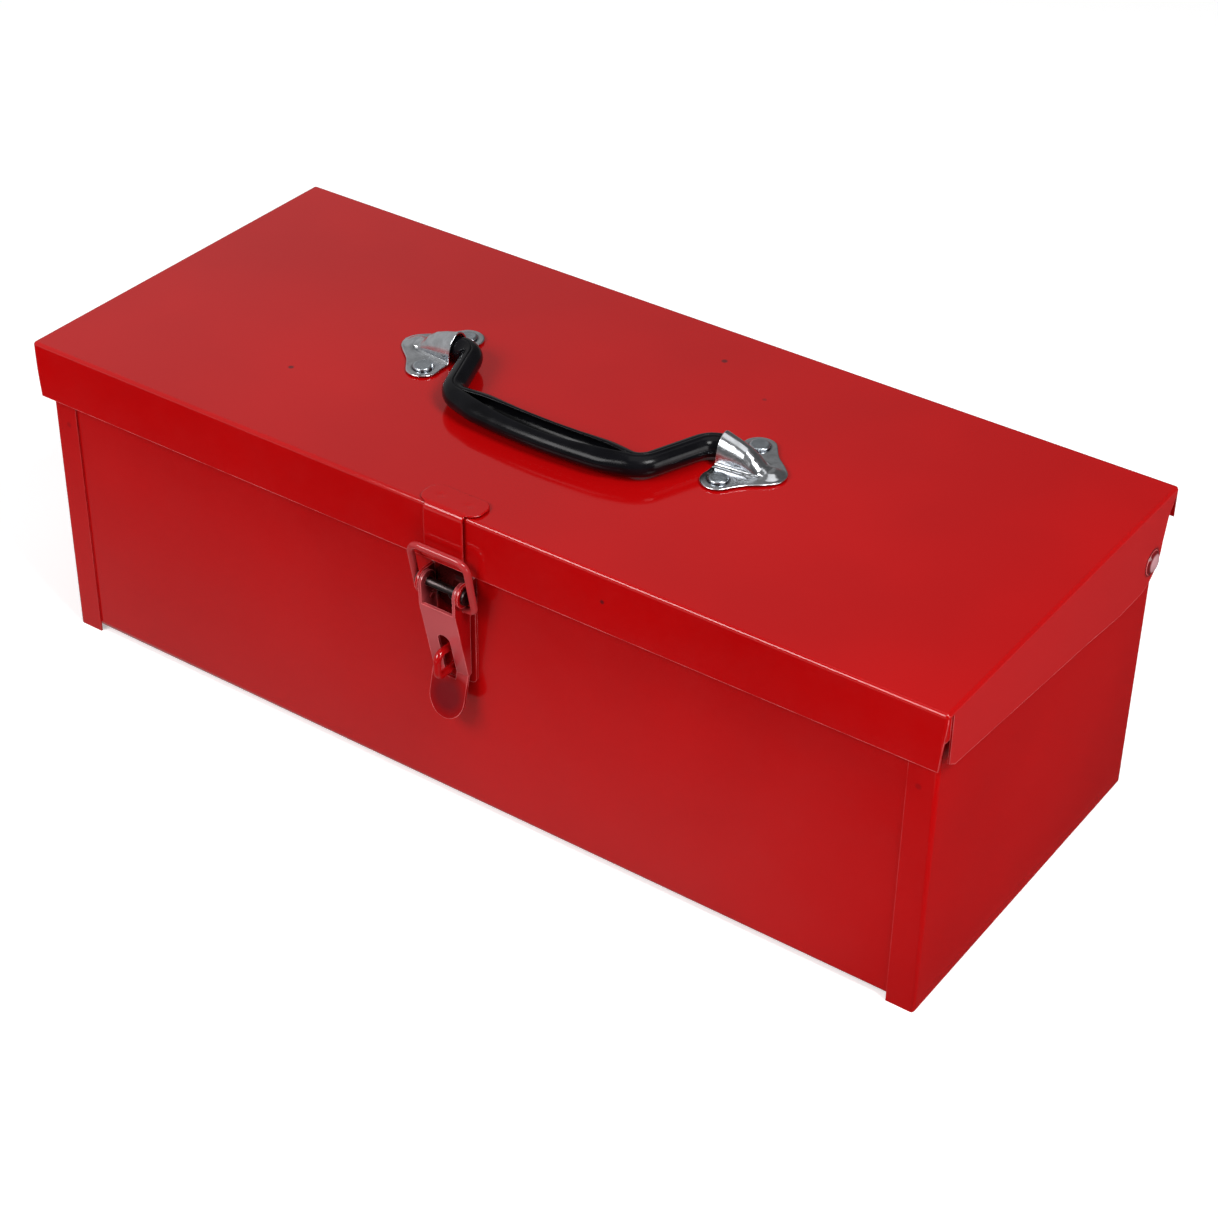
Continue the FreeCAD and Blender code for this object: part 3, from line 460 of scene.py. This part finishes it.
def channel_ring(spot, way):
    """One cross-section of the handle, lips rounded, as a ring of points in millimetres."""
    x = abs(spot.x)
    swell = ease((HANDLE["swell_start"] - x) / (HANDLE["swell_start"] - HANDLE["swell_full"]))
    inserted = max(0.0, (x - HANDLE["mouth"]) / (HANDLE["end"] - HANDLE["mouth"]))
    radius = HANDLE["radius"] + (HANDLE["end_radius"] - HANDLE["radius"]) * inserted
    half_width = radius + (HANDLE["grip_width"] / 2 - radius) * swell
    half_height = radius + (HANDLE["grip_height"] / 2 - radius) * swell
    lens = max(0.0, 1 - (x / HANDLE["open_half"]) ** 2) ** 0.75
    gap = math.asin((HANDLE["seam"] + HANDLE["opening"] * lens) / 2 / half_width)
    side = Vector((0, 0, 1)).cross(way)
    arc = 2 * math.pi - 2 * gap

    def point(angle, inset):
        across = side * ((half_width - inset) * math.cos(angle))
        return spot + across + Vector((0, 0, (half_height - inset) * math.sin(angle)))

    start = math.pi / 2 + gap
    wall = HANDLE["wall"]
    outer_steps, lip_steps = 40, 5
    ring = [point(start + arc * n / outer_steps, 0) for n in range(outer_steps + 1)]
    curl = HANDLE["lip_curl"] * wall / half_width * min(1.0, lens * 6)
    ring += [point(start + arc + curl * math.sin(math.pi * n / lip_steps), wall * n / lip_steps)
             for n in range(1, lip_steps)]
    ring += [point(start + arc - arc * n / outer_steps, wall) for n in range(outer_steps + 1)]
    ring += [point(start - curl * math.sin(math.pi * n / lip_steps), wall * (1 - n / lip_steps))
             for n in range(1, lip_steps)]
    return ring


def build_handle():
    """The carry handle, folded forward just above the lid and slid to one side of its play."""
    half = [(HANDLE["end"], 0), (HANDLE["bend_x"], 0), (HANDLE["arm_x"], -HANDLE["reach"])]
    middle = [(0, -HANDLE["reach"] - HANDLE["bow"])]
    corners = [Vector((x, y, 0)) for x, y in half + middle + [(-x, y) for x, y in reversed(half)]]
    bend = HANDLE["bend"]
    stations = rounded_line(corners, (bend, bend, HANDLE["bow_radius"], bend, bend), HANDLE["step"])
    axis = JOINTS["handle_swing"] + Vector((HANDLE["slide"] * MM, 0, 0))
    rings = [[axis + point * MM for point in channel_ring(*station)] for station in stations]
    points, faces = skin(rings)
    count = len(rings[0])
    faces += [tuple(range(count)), tuple(range((len(rings) - 1) * count, len(rings) * count))]
    mesh_piece("handle_rolled", points, faces, "handle", "handle_black", "carry_handle")


# ---- the stamped brackets that hold the handle's ends, in millimetres

# the hood's (x, half width at its foot) and (x, height of its crest)
HOOD_HALF = ((BRACKET["mouth"], BRACKET["mouth_half"]), (8.0, 4.5), (10.5, 3.9), (19.5, 3.2))
HOOD_CREST = (
    (BRACKET["mouth"], 10.9), (0.0, 9.1), (4.0, 7.6), (7.0, 5.7), (9.0, 3.4), (10.4, 1.5), (11.8, 0.5),
    (13.0, 0),
)
# the crease round the hood's foot: a flare (height, width), then a groove and a rib (height, distance
# from the foot, width); all fade towards the tip, over a length that ends at an x
FLARE = (0.5, 0.7)
PRESSED = ((-0.38, 1.0, 0.28), (0.32, 1.65, 0.35))
CREASE_END, CREASE_FADE = 10.5, 4.0
# the boss at the tip and the saddle before it: (height, x, half length, half width)
BOSS, SADDLE = (1.6, 13.4, 4.6, 4.7), (-0.3, 10.4, 1.1, 4.0)
# the rolled edge: (inset, drop)
BRACKET_EDGE = ((0.55, 0.0), (0.28, 0.06), (0.08, 0.22), (0.0, 0.5))


def bracket_outline(share):
    """A point of the half outline, from the mouth's corner round the ear to the tip."""
    mouth, ear_y, ear_r = BRACKET["mouth"], BRACKET["ear_y"], BRACKET["ear_radius"]
    tip_x, tip_r = BRACKET["tip_x"], BRACKET["tip_radius"]
    span = math.hypot(tip_x, ear_y)
    lean = math.atan2(tip_x, ear_y) - math.asin((tip_r - ear_r) / span)
    tangent = math.pi / 2 - lean
    low = math.pi + math.asin(math.sqrt(ear_r ** 2 - mouth ** 2) / ear_r)
    ear_start = Vector((mouth, ear_y + ear_r * math.sin(low)))
    first = ear_start.y - BRACKET["mouth_half"]
    second = ear_r * (low - tangent)
    edge_start = Vector((ear_r * math.cos(tangent), ear_y + ear_r * math.sin(tangent)))
    edge_end = Vector((tip_x + tip_r * math.cos(tangent), tip_r * math.sin(tangent)))
    third = (edge_end - edge_start).length
    fourth = tip_r * tangent
    walk = share * (first + second + third + fourth)
    if walk <= first:
        return Vector((mouth, BRACKET["mouth_half"])).lerp(ear_start, walk / first)
    walk -= first
    if walk <= second:
        angle = low - walk / ear_r
        return Vector((ear_r * math.cos(angle), ear_y + ear_r * math.sin(angle)))
    walk -= second
    if walk <= third:
        along = walk / third
        dip = BRACKET["flank_dip"] * math.sin(math.pi * along) ** 2
        return edge_start.lerp(edge_end, along) - Vector((math.cos(tangent), math.sin(tangent))) * dip
    angle = tangent - (walk - third) / tip_r
    return Vector((tip_x + tip_r * math.cos(angle), tip_r * math.sin(angle)))


def bell(distance, width):
    """1 at no distance, fading smoothly over a width."""
    return math.exp(-(distance / width) ** 2)


def bracket_height(x, y):
    """Height of the bracket's upper face over the lid: hood, pressed crease, saddle and tip boss."""
    y = abs(y)
    half = between(x, *HOOD_HALF)
    arch = between(x, *HOOD_CREST) * math.sqrt(max(0.0, 1 - (y / half) ** 2))
    away = max(0.0, y - half)
    height, width = FLARE
    crease = height * max(0.0, 1 - away / width) ** 2 * (y >= half)
    crease += sum(height * bell(away - place, width) for height, place, width in PRESSED)
    height, place, long, wide = BOSS
    boss = height * ease(1.3 - math.hypot((x - place) / long, y / wide))
    height, place, long, wide = SADDLE
    saddle = height * bell(x - place, long) * bell(y, wide)
    return BRACKET["sheet"] + arch + boss + saddle + crease * ease((CREASE_END - x) / CREASE_FADE)


def build_bracket(name, side):
    """One stamped bracket; side is 1 on the right and -1 on the left."""
    rows, inside, outside, rim = 110, 18, 44, BRACKET["rim"]
    length = BRACKET["tip_x"] + BRACKET["tip_radius"] - 0.02 - BRACKET["mouth"]
    rings = []
    for row in range(rows + 1):
        share = row / rows
        x = BRACKET["mouth"] + length * share
        edge = bracket_outline(share)
        half = between(x, *HOOD_HALF) * ease((1 - share) * 6) ** 0.5
        crease = Vector((x, half))
        lateral = [Vector((x, half * math.sin(math.pi / 2 * n / inside))) for n in range(inside)]
        width = max(rim, (edge - crease).length)
        lateral += [crease.lerp(edge, (1 - rim / width) * (n / outside) ** 1.5) for n in range(outside)]
        heights = [bracket_height(point.x, point.y) for point in lateral]
        for inset, drop in BRACKET_EDGE:
            point = crease.lerp(edge, max(0.0, 1 - inset / width))
            lateral.append(point)
            heights.append(bracket_height(point.x, point.y) - drop)
        one = [(point.x, point.y, height) for point, height in zip(lateral, heights)]
        other = [(u, -v, w) for u, v, w in reversed(one[1:])]
        rings.append(other + one)
    points, faces = skin(rings, closed_ring=False)
    origin = Vector((side * BRACKET["x"] * MM, LID_MID + BRACKET["y"] * MM, LID_TOP))
    placed = [origin + Vector((side * u, side * v, w)) * MM for u, v, w in points]
    piece = mesh_piece(f"stamped_{name}", placed, faces, "lid", "bracket_zinc", name)
    thicken(piece, BRACKET["shown_sheet"])


# the rivet's half section, (radius, height over the lid), from the tail's tip to the head's middle
RIVET_PROFILE = (
    (0, -4.6), (1.6, -4.6), (2.6, -4.3), (3.0, -3.7), (3.0, -2.7), (2.0, -2.65), (2.0, 1.0), (3.6, 1.15),
    (3.88, 1.3), (3.95, 1.6), (3.9, 1.95), (3.7, 2.22), (3.42, 2.36), (3.15, 2.4), (2.9, 2.38),
    (1.5, 2.38), (0, 2.38),
)


def lathe(profile, centre, steps=40):
    """Points and faces of a profile (radius, height) turned about Z, in metres."""
    rings = []
    for number in range(steps):
        angle = 2 * math.pi * number / steps
        way = Vector((math.cos(angle), math.sin(angle), 0))
        rings.append([centre + (way * radius + Vector((0, 0, z))) * MM for radius, z in profile])
    rings.append(rings[0])
    return skin(rings, closed_ring=False)


def build_rivets(name, side):
    """The two flat-headed rivets of one bracket."""
    points, faces = [], []
    for across in (-1, 1):
        centre = Vector((side * BRACKET["x"], BRACKET["y"] + across * BRACKET["ear_y"], 0)) * MM
        centre += Vector((0, LID_MID, LID_TOP))
        more_points, more_faces = lathe(RIVET_PROFILE, centre)
        shift = len(points)
        points += more_points
        faces += [tuple(corner + shift for corner in face) for face in more_faces]
    mesh_piece(f"headed_{name}", points, faces, "lid", "bracket_rivet", name)


# ---- the strike: a pill-shaped tab on the lid, bent down over the front into a lipped strip, in millimetres

STRIKE = {
    "half": 13.3, "corner": 5.0, "back": -72.5, "front": -84.5, "strip_half": 8.8, "face": -86.2,
    "sheet": 1.2, "bend": 2.8, "drop": 19.2, "lip": 1.6, "rim": 0.5, "shown_sheet": 0.65,
    "dimple_x": 6.2, "dimple_y": -78.5, "dimple": 0.10,
}
# the rolled edge: (inset, drop)
STRIKE_EDGE = ((0.26, 0.06), (0.08, 0.2), (0.0, 0.55))


def strike_half(y):
    """Half width of the strike where its outer face is y from the lid's middle."""
    corner, half = STRIKE["corner"], STRIKE["half"]
    inside = min(STRIKE["back"] - y, y - STRIKE["front"])
    if y > STRIKE["front"] and inside < corner:
        half = half - corner + math.sqrt(corner ** 2 - (corner - max(0.0, inside)) ** 2)
    elif y <= STRIKE["front"]:
        half = 0
    return half if y > (STRIKE["back"] + STRIKE["front"]) / 2 else max(half, STRIKE["strip_half"])


def strike_line():
    """Points of the outer face, seen from the side, from the tab's back edge to the lip."""
    top, face, bend = STRIKE["sheet"], STRIKE["face"], STRIKE["bend"]
    length = STRIKE["back"] - face - bend
    line = [(STRIKE["back"] - length * n / 48, top) for n in range(48)]
    for n in range(11):
        angle = math.pi / 2 * n / 10
        line.append((face + bend - bend * math.sin(angle), top - bend + bend * math.cos(angle)))
    low = -STRIKE["drop"]
    line += [(face, top - bend + (low + STRIKE["lip"] - top + bend) * n / 8) for n in range(1, 8)]
    for n in range(9):
        sway = ease(n / 8)
        line.append((face - STRIKE["lip"] * sway, low + STRIKE["lip"] * (1 - n / 8)))
    lip = face - STRIKE["lip"]
    return line + [(lip, low - STRIKE["sheet"] / 2), (lip, low - STRIKE["sheet"])]


def build_strike():
    """The strike plate, with rolled edges and two shallow weld dimples in its tab."""
    line = [Vector(spot) for spot in strike_line()]
    rim, across, rings = STRIKE["rim"], 26, []
    for number, spot in enumerate(line):
        before, after = line[max(0, number - 1)], line[min(len(line) - 1, number + 1)]
        way = (after - before).normalized()
        normal = Vector((way.y, -way.x))
        from_end = min((spot - line[0]).length, (spot - line[-1]).length)
        end_drop = 0.5 * max(0.0, 1 - from_end / rim) ** 2
        half = strike_half(spot.x)
        row = []
        for n in range(across + 1):
            x = (half - rim) * math.sin(math.pi / 2 * n / across)
            sunk = bell(x - STRIKE["dimple_x"], 1.5) * bell(spot.x - STRIKE["dimple_y"], 1.2)
            row.append((x, end_drop + STRIKE["dimple"] * sunk * (spot.y > 1)))
        row += [(half - inset, max(drop, end_drop)) for inset, drop in STRIKE_EDGE]
        one = [(x, *(spot - normal * drop)) for x, drop in row]
        rings.append([(-x, y, z) for x, y, z in reversed(one[1:])] + one)
    points, faces = skin(rings, closed_ring=False)
    placed = [Vector((x * MM, LID_MID + y * MM, LID_TOP + z * MM)) for x, y, z in points]
    piece = mesh_piece("strike_formed", placed, faces, "lid", "latch_enamel", "strike_plate")
    piece.data.materials[0] = MATERIALS["lid_enamel"]
    thicken(piece, STRIKE["shown_sheet"])


# ---------------------------------------------------------------- studio

CAMERA_AZIMUTH, CAMERA_ELEVATION, CAMERA_ROLL = 34.748, 35.171, 0.821
CAMERA_PLACE = Vector((0.5003, -0.7033, 0.6520))
CAMERA_LENS, SENSOR = 79.4, 36.0
# softboxes: name, place, (width, height) in metres and power in watts; all point at the box's middle
BOX_MIDDLE = (0, 0, 0.07)
SOFTBOXES = (
    ("top_box", (0.2, 0.1, 1.7), (1.4, 1.0), 4),
    ("front_box", (-0.42, -1.15, 1.05), (0.9, 0.6), 16.5),
    ("right_box", (1.0, -0.25, 1.3), (0.5, 0.5), 17),
    ("side_box", (1.6, 0.1, 0.4), (0.7, 0.6), 6.5),
)
FLOOR_SIZE = 8
# the pool of light that glossy paint mirrors: how its strength changes across the floor, in metres
POOL = {
    "near": {"low": 0.0, "high": 0.34, "start": -0.225, "end": -0.07},
    "far": {"low": 0.6, "high": 0.0, "start": -0.40, "end": -0.29},
    "side": {"low": 1.0, "high": 0.13, "start": 0.10, "end": 0.205},
}
# the room's light along X, from its bright left to its dim right
ROOM = {"From Min": -0.68, "From Max": -0.28, "To Min": 0.42, "To Max": 0.10}


def add_camera():
    """A long lens from the front right, above the lid, with a slight roll."""
    data = bpy.data.cameras.new("camera")
    data.lens, data.sensor_width = CAMERA_LENS, SENSOR
    camera = bpy.data.objects.new("camera", data)
    bpy.context.collection.objects.link(camera)
    azimuth, elevation = math.radians(CAMERA_AZIMUTH), math.radians(CAMERA_ELEVATION)
    back = Vector((
        math.sin(azimuth) * math.cos(elevation),
        -math.cos(azimuth) * math.cos(elevation),
        math.sin(elevation),
    ))
    turn = back.to_track_quat("Z", "Y").to_matrix().to_4x4()
    roll = Matrix.Rotation(math.radians(CAMERA_ROLL), 4, "Z")
    place = CAMERA_PLACE + Vector((0, LID_MID, 0))
    camera.matrix_world = Matrix.Translation(place) @ turn @ roll
    bpy.context.scene.camera = camera


def add_softbox(name, place, size, power):
    """A rectangular area light that points at the box's middle."""
    light = bpy.data.lights.new(name, "AREA")
    light.shape = "RECTANGLE"
    light.size, light.size_y = size
    light.energy = power
    box = bpy.data.objects.new(name, light)
    bpy.context.collection.objects.link(box)
    box.location = place
    box.rotation_euler = (Vector(place) - Vector(BOX_MIDDLE)).to_track_quat("Z", "Y").to_euler()


def floor_paper():
    """White paper in which glossy paint mirrors a small pool of light; it bounces light as grey paper."""
    m = Nodes("floor_paper")
    m.feed(Base_Color=m.ramp(m.noise(3), (0.3, (0.86, 0.86, 0.86)), (0.7, (0.88, 0.88, 0.88))))
    m.set(Roughness=0.9, Emission_Color=(1, 1, 1, 1), Emission_Strength=0.4)
    near, far = m.span(m.along("Y"), **POOL["near"]), m.span(m.along("Y"), **POOL["far"])
    side = m.span(m.along("X"), **POOL["side"])
    pool = m.add("ShaderNodeEmission")
    m.link(m.math("MULTIPLY", m.math("ADD", near, far), side), pool.inputs["Strength"])
    dim = m.add("ShaderNodeBsdfDiffuse")
    dim.inputs["Color"].default_value = (0.72, 0.72, 0.72, 1)
    seen = m.shader.outputs["BSDF"]
    rays = m.add("ShaderNodeLightPath").outputs
    for ray, other in (("Is Glossy Ray", pool.outputs["Emission"]), ("Is Diffuse Ray", dim.outputs["BSDF"])):
        choice = m.add("ShaderNodeMixShader")
        for source, socket in zip((rays[ray], seen, other), choice.inputs):
            m.link(source, socket)
        seen = choice.outputs["Shader"]
    m.link(seen, m.tree.nodes["Material Output"].inputs["Surface"])
    return m.material


def add_world():
    """A dim room, brighter on the left, for the lid to mirror."""
    world = bpy.data.worlds.new("studio")
    world.use_nodes = True
    nodes, links = world.node_tree.nodes, world.node_tree.links
    direction = nodes.new("ShaderNodeTexCoord")
    parts = nodes.new("ShaderNodeSeparateXYZ")
    shade = nodes.new("ShaderNodeMapRange")
    for socket, setting in ROOM.items():
        shade.inputs[socket].default_value = setting
    links.new(direction.outputs["Generated"], parts.inputs["Vector"])
    links.new(parts.outputs["X"], shade.inputs["Value"])
    links.new(shade.outputs["Result"], nodes["Background"].inputs["Strength"])
    nodes["Background"].inputs["Color"].default_value = (1, 1, 1, 1)
    bpy.context.scene.world = world


def add_studio():
    """A pale floor, a dim room and large soft lights."""
    bpy.ops.mesh.primitive_plane_add(size=FLOOR_SIZE)
    floor = bpy.context.object
    floor.name = "floor"
    floor.data.materials.append(floor_paper())
    add_world()
    bpy.context.scene.view_settings.view_transform = "Standard"
    for softbox in SOFTBOXES:
        add_softbox(*softbox)


dress_frame()
build_handle()
build_strike()
for side_name, side in (("left", -1), ("right", 1)):
    build_bracket(f"handle_bracket_{side_name}", side)
    build_rivets(f"handle_rivets_{side_name}", side)
add_camera()
add_studio()

bpy.context.view_layer.update()
